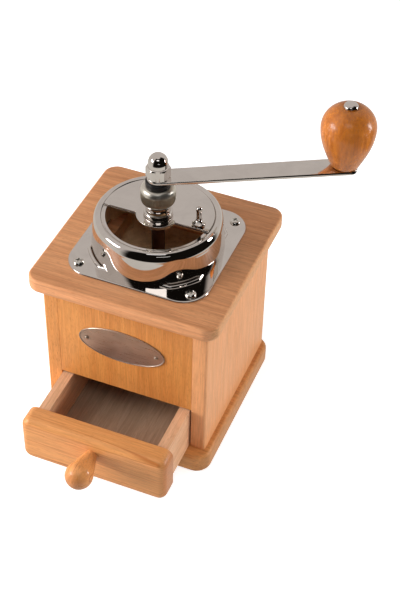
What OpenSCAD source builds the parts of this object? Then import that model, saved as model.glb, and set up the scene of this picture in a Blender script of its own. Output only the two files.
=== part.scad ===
// Hand-cranked burr coffee grinder: a wooden box with a drawer, a metal hopper drum
// on top and a conical burr set hung under it.
// The origin is under the crank's axis, on the plane that the base stands on.
// +Z is up and the drawer opens towards -Y.

/* [Box] */
// Width of the box, over its two side boards
box_w = 108; // [100:1:126]
// Depth of the box, over its front and back panels
box_d = 106.6; // [102:0.2:126]
// Height of the box between the base and the top plate
box_h = 103; // [98:1:130]
// Thickness of the boards of the box
board_t = 9.6; // [8:0.2:11]
// Height of the drawer opening
opening_h = 33; // [27:1:36]
// Radius of the upright edges of the box
box_edge_r = 2.6; // [1:0.2:4]

// How far the crank's axis sits in front of the middle of the box
axis_forward = 1.4; // [0:0.2:2]

/* [Base and top plate] */
// Thickness of the base plate
base_t = 14; // [10:0.5:18]
// How far the base plate stands out at the sides and the back
base_side_lip = 4.3; // [3:0.1:8]
// How far the base plate stands out in front
base_front_lip = 9; // [4:0.2:12]
// Thickness of the top plate
top_t = 10; // [8:0.5:14]
// How far the top plate stands out at the sides and the back
top_lip = 7.4; // [4:0.2:10]
// How far the top plate stands out in front
top_front_lip = 8.6; // [4:0.2:12]
// Radius of the base plate's corners in plan
base_corner_r = 10; // [6:0.5:12]
// Radius of the top plate's corners in plan
top_corner_r = 9; // [5:0.5:12]
// Radius along the base plate's edges
base_edge_r = 2.6; // [1:0.2:3.6]
// Radius along the top plate's upper edge
top_upper_r = 1.6; // [1:0.2:3]
// Radius along the top plate's lower edge
top_lower_r = 2.4; // [1:0.2:3.6]

/* [Drawer] */
// How far the drawer stands open
drawer_open = 36.4; // [10:0.2:40]
// Thickness of the drawer's front board
front_t = 14; // [9:0.5:15]
// How far the drawer's front board overlaps the opening at each side
front_overlap = 3.8; // [2:0.2:6]
// How far the drawer's front board overlaps the opening at the top
front_overlap_top = 3; // [0.6:0.1:4]
// Gap between the drawer's front board and the base plate
front_lift = 2; // [0.6:0.2:3]
// Corner radius of the drawer's front board
front_corner_r = 6; // [4.5:0.5:7]
// Radius along the outer edges of the drawer's front board
front_edge_r = 4.2; // [2:0.2:4.4]
// Thickness of the drawer's sides and back
drawer_side_t = 7; // [5:0.5:9]
// Thickness of the drawer's bottom panel
drawer_bottom_t = 3; // [2:0.5:4]
// Length of the drawer's turned knob
drawer_knob_l = 26; // [20:1:32]
// Largest radius of the drawer's turned knob
drawer_knob_r = 8.6; // [7:0.2:10]
// How far the knob sits above the middle of the drawer's front board
knob_rise = 5.8; // [0:0.2:8]

/* [Nameplate] */
// Width of the oval nameplate
nameplate_w = 57; // [40:1:70]
// Height of the oval nameplate
nameplate_h = 25; // [18:1:32]
// How far the nameplate sits left of the middle
nameplate_shift = 2; // [0:0.5:4]

/* [Hopper] */
// Side of the square mounting plate
mount_plate_w = 91; // [89:1:98]
// Thickness of the mounting plate
mount_plate_t = 1.2; // [0.8:0.1:2]
// Corner radius of the mounting plate
mount_plate_r = 17; // [12:0.5:18]
// Outer radius of the rolled rim at the drum's top
rim_r = 39.6; // [39:0.1:41]
// Height of the drum's rim above the top plate
drum_h = 23.9; // [22:0.1:32]
// Radius of the rolled bead's section
bead_r = 2.8; // [2:0.1:3]
// Radius of the drum at its foot
drum_foot_r = 40.9; // [40.6:0.1:41.5]
// Thickness of the drum's sheet metal
sheet_t = 0.9; // [0.7:0.1:1.2]
// Radius of the filler opening
filler_r = 32; // [28:0.1:32.4]
// Depth of the hopper bowl below the top plate
bowl_drop = 29; // [24:1:34]

/* [Crank] */
// Distance from the crank's axis to the handle's axis
crank_r = 111.4; // [100:1:125]
// Direction in which the crank points
crank_angle = 29; // [0:1:360]
// Thickness of the crank arm
arm_t = 2.4; // [2:0.1:4]
// Width of the crank arm at the hub
arm_hub_w = 13.6; // [13:0.2:16.4]
// Width of the crank arm at the handle
arm_end_w = 14.6; // [13.6:0.2:20]
// Height of the wooden handle
handle_h = 41; // [34:0.5:50]
// Largest radius of the wooden handle
handle_r = 16.5; // [14:0.1:19]

/* [Spindle and burrs] */
// Radius of the drive shaft
shaft_r = 4.1; // [3.6:0.1:4.4]
// Height of the adjusting nut
adjuster_h = 12.4; // [10:0.2:14]
// Largest radius of the adjusting nut
adjuster_r = 10.6; // [10:0.1:12]
// Height of the bearing bush above the covers
bush_h = 8.7; // [8:0.1:12]
// Largest radius of the inner burr
burr_r = 17.4; // [15:0.2:18]
// Height of the inner burr
burr_h = 18; // [14:0.5:20]
// Number of fine teeth on each burr
burr_teeth = 30; // [20:2:36]

/* [Clearances] */
// Gap on the radius between a shaft and its bearing
running_gap = 0.05; // [0.02:0.01:0.08]
// Gap between pieces that are screwed or glued together
seat_gap = 0.1; // [0:0.02:0.2]
// Gap beside and above the drawer's sides in the opening
drawer_gap = 0.9; // [0.5:0.1:1.2]
// Gap between the two burrs
grind_gap = 0.9; // [0.8:0.1:1.4]

/* [Hidden] */
$fn = 64;

// fineness of blended wooden shapes and of small turned shapes
blend_fn = 32;
// small overlap that keeps cuts clean
cut = 1;

// places and heights of the box
box_y = axis_forward;
front_y = box_y - box_d / 2;
back_y = box_y + box_d / 2;
box_z = base_t;
top_z = base_t + box_h;
deck_z = top_z + top_t;
inner_w = box_w - 2 * board_t;
inner_d = box_d - 2 * board_t;
opening_top_z = box_z + opening_h;

// drawer, at rest standing open
drawer_w = inner_w - 2 * drawer_gap;
drawer_z = box_z + seat_gap * 3;
drawer_h = opening_top_z - drawer_gap - drawer_z;
drawer_l = box_d - board_t - 2;
drawer_y = front_y - drawer_open;
front_w = inner_w + 2 * front_overlap;
front_z = box_z + front_lift;
front_h = opening_top_z + front_overlap_top - front_z;
front_mid_z = front_z + front_h / 2;
knob_z = front_mid_z + knob_rise;
bottom_z = drawer_z + 3;
groove_depth = 3;
front_back_r = 1.2;
knob_neck_r = 3.2;
knob_taper = 22;
knob_screw_r = 1.9;
knob_screw_head_r = 3.8;

// wood screws in the base
base_screw_r = 2;
base_screw_head_r = 4;
base_screw_l = 30;

// drum and its covers
bead_ring_r = rim_r - bead_r;
bead_z = deck_z + drum_h - bead_r;
fixed_cover_r = bead_ring_r - bead_r - 0.3;
turning_cover_r = fixed_cover_r + 0.5;
cover_t = 1;
fixed_cover_z = bead_z + 0.45;
cover_gap = 0.2;
rotating_cover_z = fixed_cover_z + cover_t + cover_gap;
cover_top_z = rotating_cover_z + cover_t;
cover_front_y = -4.2;
eye_r = 13.6;
drum_z = deck_z + mount_plate_t;
collar_r = drum_foot_r + 1.3;
collar_h = 2.6;
collar_foot = 2.2;
plate_screw_r = 1.7;
plate_screw_l = 14;
plate_screw_head_r = 3.4;
plate_screw_gap = 3.7;
plate_pad_r = plate_screw_head_r + 1.4;
plate_screw_at = (collar_r + collar_foot + plate_screw_head_r + plate_screw_gap) / sqrt(2);
plate_screw_head_h = 2.2;
recess_w = 0.9;

// hopper bowl
bowl_t = 1;
bowl_r = drum_foot_r - sheet_t - 3;
deck_hole_r = bowl_r + 0.8;
bowl_flange_r = deck_hole_r + 1.6;
bowl_low_z = deck_z - bowl_drop;
bowl_top_z = bead_z - bead_r - 0.4;

// burr set, hung under the bowl
outer_burr_t = 4.6;
outer_burr_in_r = burr_r + grind_gap;
mouth_flare = 1.2;
outer_burr_r = outer_burr_in_r + mouth_flare + outer_burr_t;
outer_burr_z = bowl_low_z - burr_h - bowl_t;
outer_burr_h = burr_h + bowl_t;
lug_w = 10;
lug_t = 4;
lug_r = outer_burr_r + 6;
bridge_t = 3;
bridge_w = 10;
bridge_drop = 9;
bridge_z = outer_burr_z - bridge_drop;
bridge_screw_at = outer_burr_r + 2.6;
bridge_screw_r = 1.6;
bridge_screw_head_r = 2.8;
bridge_screw_head_h = 2;
boss_r = 6;
boss_h = 5;
journal_r = shaft_r - 1;
tooth_depth = 0.9;
fine_band_h = burr_h * 0.35;
burr_rise = 1.2;
inner_burr_z = outer_burr_z + burr_rise;
burr_nut_h = 3.5;
burr_nut_r = 5.8;

// bush, nut and crank on the shaft
bush_r = 8.85;
bush_neck_r = 8.1;
bush_low_z = fixed_cover_z - 2.4;
bush_flange_r = 10.5;
bush_top_z = cover_top_z + bush_h;
washer_t = 0.6;
adjuster_z = bush_top_z + washer_t;
ring_z = adjuster_z + adjuster_h;
ring_h = 3.9;
ring_r = 7.7;
arm_z = ring_z + ring_h;
arm_top_z = arm_z + arm_t;
square_w = 6.2;
cap_flats = 13;
cap_hex_h = 7.6;
cap_dome_r = 6;
cap_h = 16.3;
thread_r = 2.9;
shaft_top_z = arm_top_z + 9.5;
shaft_low_z = bridge_z - 1.5;

// crank handle
handle_washer_t = 0.5;
handle_z = arm_top_z + handle_washer_t;
rivet_r = 2.6;
rivet_head_r = 4.4;
rivet_head_h = 3;

// cover knob
cover_knob_at = [26.3, 0.1];
cover_knob_h = 13.6;

// ---------------------------------------------------------------- shared shapes

// Rectangle with round corners, centred on the origin
module round_rect(w, d, r) {
    square([w - 2 * r, d], center = true);
    square([w, d - 2 * r], center = true);
    for (x = [-1, 1], y = [-1, 1])
        translate([x * (w / 2 - r), y * (d / 2 - r)])
            circle(r);
}

// Quarter round outline points of radius r about [x, z], from angle a to angle b
function arc_points(x, z, r, a, b, n) =
    [for (i = [0 : n]) [x + r * cos(a + (b - a) * i / n), z + r * sin(a + (b - a) * i / n)]];

// Round puck with softened lower and upper edges, used at the corners of a board
module soft_puck(r, t, low_e, up_e) {
    rotate_extrude($fn = blend_fn)
        polygon(concat([[0, 0]], arc_points(r - low_e, low_e, low_e, -90, 0, 4),
                       arc_points(r - up_e, t - up_e, up_e, 0, 90, 4), [[0, t]]));
}

// Board with round corners in plan and softened edges all round
module soft_board(w, d, t, r, low_e, up_e) {
    hull()
        for (x = [-1, 1], y = [-1, 1])
            translate([x * (w / 2 - r), y * (d / 2 - r), 0])
                soft_puck(r, t, low_e, up_e);
}

// Plain washer or sleeve
module sleeve(r, bore, h) {
    difference() {
        cylinder(r = r, h = h);
        translate([0, 0, -cut])
            cylinder(r = bore, h = h + 2 * cut);
    }
}

// Hexagon prism with both ends chamfered, measured over its flats
module chamfered_hex(flats, h) {
    corner_r = flats / 2 / cos(30);
    chamfer = corner_r - flats / 2;
    intersection() {
        cylinder(r = corner_r, h = h, $fn = 6);
        rotate_extrude()
            polygon([[0, 0], [flats / 2, 0], [corner_r, chamfer * 0.6],
                     [corner_r, h - chamfer * 0.6], [flats / 2, h], [0, h]]);
    }
}

// Countersunk wood screw that points up, its head flush with z = 0
module wood_screw(r, head_r, l) {
    difference() {
        rotate_extrude($fn = 24)
            polygon([[0, 0], [head_r, 0], [r, head_r - r], [r, l - 3 * r], [0, l]]);
        for (a = [0, 90])
            rotate([0, 0, a])
                cube([head_r * 1.1, recess_w, 2 * recess_w], center = true);
    }
}

// Round-headed screw that points down, its head seated on z = 0
module round_head_screw(r, head_r, head_h, l) {
    difference() {
        rotate_extrude($fn = 32)
            polygon(concat([[0, -l], [r, 2 * r - l], [r, 0], [head_r, 0]],
                           [for (a = [15 : 15 : 75]) [head_r * cos(a), head_h * sin(a)]],
                           [[0, head_h]]));
        for (a = [0, 90])
            rotate([0, 0, a])
                translate([-head_r * 0.55, -recess_w / 2, head_h - 1.2])
                    cube([head_r * 1.1, recess_w, 2]);
    }
}

// Places its children at the four corners of a rectangle
module at_corners(x, y) {
    for (i = [-1, 1], j = [-1, 1])
        translate([i * x, j * y, 0])
            children();
}

// ---------------------------------------------------------------- wooden box

module base_plate() {
    depth = box_d + base_side_lip + base_front_lip;
    color("burlywood")
        difference() {
            translate([0, box_y + (base_side_lip - base_front_lip) / 2, 0])
                soft_board(box_w + 2 * base_side_lip, depth, base_t, base_corner_r, base_edge_r,
                           base_edge_r);
            at_base_screws() {
                translate([0, 0, -seat_gap])
                    cylinder(r = base_screw_head_r + seat_gap, h = 3 + seat_gap, $fn = 24);
                cylinder(r = base_screw_r + seat_gap, h = base_t + cut, $fn = 24);
            }
        }
}

// Places its children at the four screws between the base and the side boards
module at_base_screws() {
    translate([0, box_y, 0])
        at_corners((box_w - board_t) / 2, box_d / 2 - board_t - 8)
            children();
}

// One side board, with its outer upright edges rounded
module side_board() {
    difference() {
        translate([0, box_y, box_z])
            linear_extrude(box_h)
                intersection() {
                    round_rect(box_w, box_d, box_edge_r);
                    translate([inner_w / 2, -box_d / 2])
                        square([board_t, box_d]);
                }
        at_base_screws()
            cylinder(r = base_screw_r + seat_gap, h = base_screw_l + cut, $fn = 24);
    }
}

module left_side_board() {
    color("sandybrown")
        mirror([1, 0, 0])
            side_board();
}

module right_side_board() {
    color("sandybrown")
        side_board();
}

// Front panel, flush between the side boards and open below for the drawer
module front_panel() {
    color("sandybrown")
        difference() {
            translate([-inner_w / 2, front_y, opening_top_z])
                cube([inner_w, board_t, top_z - opening_top_z]);
            nameplate_holes();
        }
}

module back_panel() {
    color("sandybrown")
        translate([-inner_w / 2, back_y - board_t, box_z])
            cube([inner_w, board_t, box_h]);
}

module top_plate() {
    color("peru")
        difference() {
            translate([0, box_y + (top_lip - top_front_lip) / 2, top_z])
                soft_board(box_w + 2 * top_lip, box_d + top_lip + top_front_lip, top_t,
                           top_corner_r, top_lower_r, top_upper_r);
            translate([0, 0, top_z - cut])
                cylinder(r = deck_hole_r, h = top_t + 2 * cut);
            translate([0, 0, deck_z - bowl_t - seat_gap])
                cylinder(r = bowl_flange_r + seat_gap, h = top_t);
            translate([0, 0, deck_z])
                at_corners(plate_screw_at, plate_screw_at)
                    translate([0, 0, -plate_screw_l])
                        cylinder(r = plate_screw_r + seat_gap, h = plate_screw_l + cut, $fn = 24);
        }
}

// Countersunk screws that hold the side boards on the base
module base_screws() {
    color("silver")
        at_base_screws()
            translate([0, 0, 0.8])
                wood_screw(base_screw_r, base_screw_head_r, base_screw_l);
}

// ---------------------------------------------------------------- drawer

module drawer_front() {
    color("sandybrown")
        difference() {
            translate([0, drawer_y, front_mid_z])
                rotate([90, 0, 0])
                    soft_board(front_w, front_h, front_t, front_corner_r, front_back_r, front_edge_r);
            translate([0, drawer_y + cut, knob_z])
                rotate([90, 0, 0])
                    cylinder(r = knob_screw_r + seat_gap, h = front_t + 2 * cut, $fn = 24);
            drawer_bottom_blank(seat_gap);
        }
}

// Bottom panel with its edges in grooves of the walls round it
module drawer_bottom_blank(gap) {
    translate([-drawer_w / 2 + drawer_side_t - groove_depth - gap, drawer_y - groove_depth - gap,
               bottom_z - gap])
        cube([drawer_w - 2 * drawer_side_t + 2 * (groove_depth + gap),
              drawer_l - drawer_side_t + 2 * (groove_depth + gap), drawer_bottom_t + 2 * gap]);
}

module drawer_side(x) {
    difference() {
        translate([x - drawer_side_t / 2, drawer_y, drawer_z])
            cube([drawer_side_t, drawer_l, drawer_h]);
        drawer_bottom_blank(seat_gap);
    }
}

module drawer_left_side() {
    color("wheat")
        drawer_side((drawer_side_t - drawer_w) / 2);
}

module drawer_right_side() {
    color("wheat")
        drawer_side((drawer_w - drawer_side_t) / 2);
}

module drawer_back() {
    color("wheat")
        difference() {
            translate([-drawer_w / 2 + drawer_side_t, drawer_y + drawer_l - drawer_side_t, drawer_z])
                cube([drawer_w - 2 * drawer_side_t, drawer_side_t, drawer_h - 3]);
            drawer_bottom_blank(seat_gap);
        }
}

module drawer_bottom() {
    color("tan")
        drawer_bottom_blank(0);
}

// Turned knob: a thin neck that swells to a round end
module drawer_knob() {
    r = drawer_knob_r;
    l = drawer_knob_l;
    color("sandybrown")
        translate([0, drawer_y - front_t, knob_z])
            rotate([90, 0, 0])
                difference() {
                    rotate_extrude($fn = 48)
                        polygon(concat([[0, 0], [knob_neck_r, 0], [knob_neck_r, 1]],
                                       arc_points(0, l - r, r, -knob_taper, 86, 12),
                                       [[0, l]]));
                    translate([0, 0, -cut])
                        cylinder(r = knob_screw_r + seat_gap, h = cut + l * 0.55, $fn = 24);
                }
}

// Screw from inside the drawer into its knob
module knob_screw() {
    color("silver")
        translate([0, drawer_y, knob_z])
            rotate([90, 0, 0])
                difference() {
                    union() {
                        cylinder(r = knob_screw_r, h = front_t + drawer_knob_l * 0.5, $fn = 24);
                        translate([0, 0, -2])
                            rotate_extrude($fn = 24)
                                polygon([[0, 0], [knob_screw_head_r * 0.7, 0],
                                         [knob_screw_head_r, 1], [knob_screw_head_r, 2], [0, 2]]);
                    }
                    translate([-knob_screw_head_r - cut, -recess_w / 2, -2 - cut])
                        cube([2 * (knob_screw_head_r + cut), recess_w, 0.9 + cut]);
                }
}

// ---------------------------------------------------------------- nameplate

nameplate_t = 0.8;
nameplate_z = (opening_top_z + top_z) / 2 + 2;
nameplate_pin_at = nameplate_w / 2 - 5.4;
nameplate_pin_r = 0.8;
nameplate_pin_l = 4.6;
nameplate_pin_head_r = 1.3;
nameplate_pin_head_h = 0.9;

// Points of an ellipse
function ellipse_points(w, h, n) = [for (i = [0 : n - 1]) [w / 2 * cos(360 * i / n),
                                                           h / 2 * sin(360 * i / n)]];

// Places its children on the front panel, +Z out of the panel
module on_front_panel() {
    translate([-nameplate_shift, front_y, nameplate_z])
        rotate([90, 0, 0])
            children();
}

module nameplate_holes() {
    on_front_panel()
        for (x = [-1, 1])
            translate([x * nameplate_pin_at, 0, -nameplate_pin_l - 0.4])
                cylinder(r = nameplate_pin_r + seat_gap / 2, h = nameplate_pin_l + 0.4 + cut,
                         $fn = 24);
}

// Bare oval plate
module nameplate() {
    color("rosybrown")
        on_front_panel()
            difference() {
                linear_extrude(nameplate_t)
                    polygon(ellipse_points(nameplate_w, nameplate_h, 64));
                for (x = [-1, 1])
                    translate([x * nameplate_pin_at, 0, -cut])
                        cylinder(r = nameplate_pin_r + seat_gap / 2, h = nameplate_t + 2 * cut,
                                 $fn = 24);
            }
}

module nameplate_pins() {
    color("dimgray")
        on_front_panel()
            for (x = [-1, 1])
                translate([x * nameplate_pin_at, 0, 0])
                    rotate_extrude($fn = 24)
                        polygon([[0, -nameplate_pin_l], [nameplate_pin_r, -nameplate_pin_l * 0.87],
                                 [nameplate_pin_r, nameplate_t],
                                 [nameplate_pin_head_r, nameplate_t],
                                 [nameplate_pin_head_r * 0.85, nameplate_t + nameplate_pin_head_h * 0.6],
                                 [nameplate_pin_head_r * 0.45, nameplate_t + nameplate_pin_head_h * 0.9],
                                 [0, nameplate_t + nameplate_pin_head_h]]);
}

// ---------------------------------------------------------------- drum and covers

// Square plate with a raised round collar that the drum stands in
module mounting_plate() {
    color("silver")
        difference() {
            union() {
                translate([0, 0, deck_z])
                    linear_extrude(mount_plate_t) {
                        round_rect(mount_plate_w, mount_plate_w, mount_plate_r);
                        at_corners(plate_screw_at, plate_screw_at)
                            circle(plate_pad_r);
                    }
                translate([0, 0, deck_z])
                    rotate_extrude($fn = 96)
                        polygon(concat([[drum_foot_r, 0], [collar_r + collar_foot, 0],
                                        [collar_r + collar_foot, mount_plate_t],
                                        [collar_r + 0.9, mount_plate_t + 0.4]],
                                       arc_points(collar_r - 0.6, collar_h - 0.6, 0.6, 0, 180, 6),
                                       [[drum_foot_r, collar_h - 1.1]]));
            }
            translate([0, 0, deck_z - cut])
                cylinder(r = drum_foot_r + seat_gap, h = collar_h + 2 * cut, $fn = 96);
            translate([0, 0, deck_z - cut])
                at_corners(plate_screw_at, plate_screw_at)
                    cylinder(r = plate_screw_r + seat_gap, h = mount_plate_t + 2 * cut, $fn = 24);
        }
}

module plate_screws() {
    color("gainsboro")
        translate([0, 0, drum_z])
            at_corners(plate_screw_at, plate_screw_at)
                rotate([0, 0, 25])
                    round_head_screw(plate_screw_r, plate_screw_head_r, plate_screw_head_h,
                                     plate_screw_l);
}

// Drum of sheet metal with a rolled bead at its top that holds the fixed cover
module hopper_drum() {
    top_r = bead_ring_r + bead_r * 0.8;
    color("lightgray")
        rotate_extrude($fn = 96) {
            polygon([[drum_foot_r - 1.2, deck_z], [drum_foot_r, deck_z],
                     [drum_foot_r, deck_z + collar_h], [drum_foot_r - 0.5, deck_z + collar_h + 2],
                     [top_r, bead_z - bead_r * 0.5], [top_r - sheet_t, bead_z - bead_r * 0.5],
                     [drum_foot_r - 0.5 - sheet_t, deck_z + collar_h + 2],
                     [drum_foot_r - sheet_t, deck_z + collar_h],
                     [drum_foot_r - sheet_t, deck_z + sheet_t],
                     [drum_foot_r - 1.2, deck_z + sheet_t]]);
            polygon(arc_points(bead_ring_r, bead_z, bead_r, 0, 345, 23));
        }
}

// Fixed cover: a disc with the half-moon filler opening at the front
module fixed_cover() {
    color("silver")
        translate([0, 0, fixed_cover_z])
            difference() {
                cylinder(r = fixed_cover_r, h = cover_t, $fn = 96);
                translate([0, 0, -cut])
                    cylinder(r = bush_neck_r + running_gap, h = cover_t + 2 * cut);
                translate([0, 0, -cut])
                    linear_extrude(cover_t + 2 * cut)
                        difference() {
                            intersection() {
                                circle(filler_r, $fn = 96);
                                translate([-filler_r, -filler_r])
                                    square([2 * filler_r, filler_r + cover_front_y - 0.3]);
                            }
                            circle(eye_r - 0.4);
                        }
            }
}

// Half cover that turns about the bush over the filler opening
module rotating_cover() {
    color("silver")
        difference() {
            translate([0, 0, rotating_cover_z])
                linear_extrude(cover_t)
                    difference() {
                        union() {
                            intersection() {
                                circle(turning_cover_r, $fn = 96);
                                translate([-turning_cover_r, cover_front_y])
                                    square([2 * turning_cover_r, 2 * turning_cover_r]);
                            }
                            circle(eye_r);
                        }
                        circle(bush_neck_r + running_gap);
                    }
            translate([cover_knob_at[0], cover_knob_at[1], rotating_cover_z - cut])
                cylinder(r = 1.2 + seat_gap / 2, h = cover_t + 2 * cut, $fn = 24);
        }
}

// Small turned knob that is riveted in the rotating cover
module cover_knob() {
    h = cover_knob_h;
    color("gainsboro")
        translate([cover_knob_at[0], cover_knob_at[1], cover_top_z])
            rotate_extrude($fn = 32)
                polygon(concat([[0, -cover_t], [1.2, -cover_t], [1.2, 0], [2.1, 0], [2.5, 0.5],
                                [4.1, 1.2], [4.2, 1.7], [4, 2.2], [2.4, 2.8], [1.6, 3.6],
                                [1.45, h * 0.55], [1.7, h - 2.2]],
                               arc_points(0, h - 1.9, 1.9, 10, 80, 5),
                               [[0, h]]));
}

// Bowl that leads the beans down to the burrs
module hopper_bowl() {
    low_r = outer_burr_in_r + mouth_flare;
    mid_z = bowl_low_z + bowl_drop * 0.28;
    bend = [for (i = [0 : 6]) let (a = 90 * i / 6)
            [low_r + 3 + (bowl_r - 3 - low_r) * sin(a) * 0.96,
             mid_z + (deck_z - mid_z) * 0.62 * (1 - cos(a))]];
    color("saddlebrown")
        rotate_extrude($fn = 72) {
            polygon(concat([[low_r, bowl_low_z], [low_r + bowl_t, bowl_low_z],
                            [low_r + 3 + bowl_t, mid_z - 1]],
                           [for (p = bend) [p[0] + bowl_t, p[1] - bowl_t * 0.3]],
                           [[bowl_r, deck_z - 4], [bowl_r, bowl_top_z],
                            [bowl_r - bowl_t, bowl_top_z], [bowl_r - bowl_t, deck_z - 4]],
                           [for (i = [6 : -1 : 0]) bend[i]],
                           [[low_r, bowl_low_z + bowl_t]]));
            polygon([[bowl_r - bowl_t / 2, deck_z - bowl_t], [bowl_flange_r, deck_z - bowl_t],
                     [bowl_flange_r, deck_z], [bowl_r - bowl_t / 2, deck_z]]);
            polygon([[low_r, bowl_low_z], [outer_burr_r, bowl_low_z],
                     [outer_burr_r, bowl_low_z + bowl_t], [low_r, bowl_low_z + bowl_t]]);
        }
}

// ---------------------------------------------------------------- bush, nut and crank

// Turned bush that carries the shaft and the rotating cover
module bearing_bush() {
    z1 = rotating_cover_z + cover_t + cover_gap;
    color("silver")
        rotate_extrude()
            polygon([[shaft_r + running_gap, bush_low_z], [bush_flange_r, bush_low_z],
                     [bush_flange_r, fixed_cover_z - seat_gap],
                     [bush_neck_r, fixed_cover_z - seat_gap], [bush_neck_r, z1],
                     [bush_r - 0.3, z1], [bush_r, z1 + 0.3], [bush_r, z1 + 3.1],
                     [bush_r - 0.3, z1 + 3.4], [bush_neck_r - 0.1, z1 + 3.6],
                     [bush_neck_r - 0.4, z1 + 5.4], [bush_neck_r, z1 + 6.6],
                     [bush_neck_r, bush_top_z - 0.3], [bush_neck_r - 0.3, bush_top_z],
                     [shaft_r + running_gap, bush_top_z]]);
}

module thrust_washer() {
    color("goldenrod")
        translate([0, 0, bush_top_z])
            sleeve(bush_neck_r - 0.6, shaft_r + running_gap, washer_t);
}

// Round nut that sets the grind: a barrel below, rounded in to its top
module adjusting_nut() {
    waist_z = adjuster_h * 0.3;
    shoulder_z = adjuster_h * 0.69;
    foot_r = adjuster_r - 2.4;
    color("silver")
        translate([0, 0, adjuster_z])
            rotate_extrude()
                polygon(concat([[shaft_r + running_gap, 0], [foot_r, 0]],
                               [for (a = [-70 : 14 : 0])
                                    [foot_r + (adjuster_r - foot_r) * cos(a),
                                     waist_z * (1 + sin(a))]],
                               [for (a = [0 : 12 : 84])
                                    [ring_r + (adjuster_r - ring_r) * cos(a),
                                     shoulder_z + (adjuster_h - shoulder_z) * sin(a)]],
                               [[ring_r, adjuster_h], [shaft_r + running_gap, adjuster_h]]));
}

// Black elastic ring between the nut and the crank
module lock_ring() {
    color("black")
        translate([0, 0, ring_z])
            rotate_extrude()
                polygon([[shaft_r + 0.3, 0], [ring_r - 0.4, 0], [ring_r, 0.4],
                         [ring_r, ring_h - 0.4], [ring_r - 0.4, ring_h], [shaft_r + 0.3, ring_h]]);
}

// Flat bar, wider towards the handle, with a square hole for the shaft
module crank_arm() {
    end_r = 5;
    end_x = crank_r + 2.4;
    color("silver")
        translate([0, 0, arm_z])
            rotate([0, 0, crank_angle])
                linear_extrude(arm_t)
                    difference() {
                        union() {
                            circle(arm_hub_w / 2);
                            polygon([[0, -arm_hub_w / 2], [end_x, -arm_end_w / 2],
                                     [end_x, arm_end_w / 2], [0, arm_hub_w / 2]]);
                            translate([end_x, 0])
                                square([2 * end_r, arm_end_w - 2 * end_r], center = true);
                            for (y = [-1, 1])
                                translate([end_x, y * (arm_end_w / 2 - end_r)])
                                    circle(end_r);
                        }
                        square(square_w + 2 * seat_gap, center = true);
                        translate([crank_r, 0])
                            circle(rivet_r + seat_gap / 2);
                    }
}

// Domed hexagon nut that holds the crank on the shaft
module cap_nut() {
    dome_z = cap_h - cap_dome_r;
    color("gainsboro")
        translate([0, 0, arm_top_z])
            rotate([0, 0, 21])
                difference() {
                    union() {
                        chamfered_hex(cap_flats, cap_hex_h);
                        rotate_extrude()
                            polygon(concat([[0, cap_hex_h - 0.5], [cap_dome_r, cap_hex_h - 0.5]],
                                           arc_points(0, dome_z, cap_dome_r, 0, 90, 10)));
                    }
                    translate([0, 0, -cut])
                        cylinder(r = thread_r + seat_gap, h = shaft_top_z - arm_top_z + 0.5 + cut);
                }
}

// ---------------------------------------------------------------- handle

// Places its children on the handle's axis at the top of the crank arm
module at_handle() {
    rotate([0, 0, crank_angle])
        translate([crank_r, 0, arm_top_z])
            children();
}

module handle_washer() {
    color("silver")
        at_handle()
            sleeve(6.4, rivet_r + running_gap, handle_washer_t);
}

// Radius of the pear-shaped handle at t, from 0 at its foot to 1 at its top
function handle_radius(t) =
    t < 0.66 ? handle_r * (0.5 + 0.5 * sin(90 * pow(t / 0.66, 1.02)))
             : handle_r * sqrt(1 - pow((t - 0.66) / 0.36, 2) * 0.98);

module wooden_handle() {
    color("chocolate")
        at_handle()
            translate([0, 0, handle_washer_t])
                rotate_extrude($fn = 64)
                    polygon(concat([[rivet_r + running_gap, 0],
                                    [handle_r * 0.46, 0], [handle_radius(0.03), 0.9]],
                                   [for (t = [0.08 : 0.06 : 0.98])
                                        [handle_radius(t), t * handle_h]],
                                   [[rivet_r + running_gap, handle_h]]));
}

// Rivet through the arm and the handle, with a domed head on top
module handle_rivet() {
    head_z = handle_washer_t + handle_h + seat_gap;
    color("gainsboro")
        at_handle()
            rotate_extrude($fn = 48)
                polygon(concat([[0, -arm_t - 1.6], [2.6, -arm_t - 1.6], [4, -arm_t - 1],
                                [4.2, -arm_t], [rivet_r, -arm_t], [rivet_r, head_z],
                                [rivet_head_r, head_z]],
                               [for (a = [12 : 12 : 84])
                                    [rivet_head_r * cos(a), head_z + rivet_head_h * sin(a)]],
                               [[0, head_z + rivet_head_h]]));
}

// ---------------------------------------------------------------- shaft and burrs

// Shaft with a journal below, a square for the crank and a threaded end
module drive_shaft() {
    color("dimgray")
        union() {
            translate([0, 0, inner_burr_z + burr_h])
                cylinder(r = shaft_r, h = arm_z - inner_burr_z - burr_h);
            translate([0, 0, shaft_low_z])
                cylinder(r = journal_r, h = inner_burr_z + burr_h - shaft_low_z);
            translate([0, 0, arm_z])
                rotate([0, 0, crank_angle])
                    intersection() {
                        translate([-square_w / 2, -square_w / 2, 0])
                            cube([square_w, square_w, arm_t]);
                        cylinder(r = shaft_r, h = arm_t);
                    }
            translate([0, 0, arm_top_z])
                cylinder(r = thread_r, h = shaft_top_z - arm_top_z);
        }
}

// Outline of a toothed ring, tooth tips at radius r
module tooth_outline(r, depth, n) {
    polygon([for (i = [0 : 2 * n - 1]) let (a = 180 * i / n, q = i % 2 == 0 ? r : r - depth)
             [q * cos(a), q * sin(a)]]);
}

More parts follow.
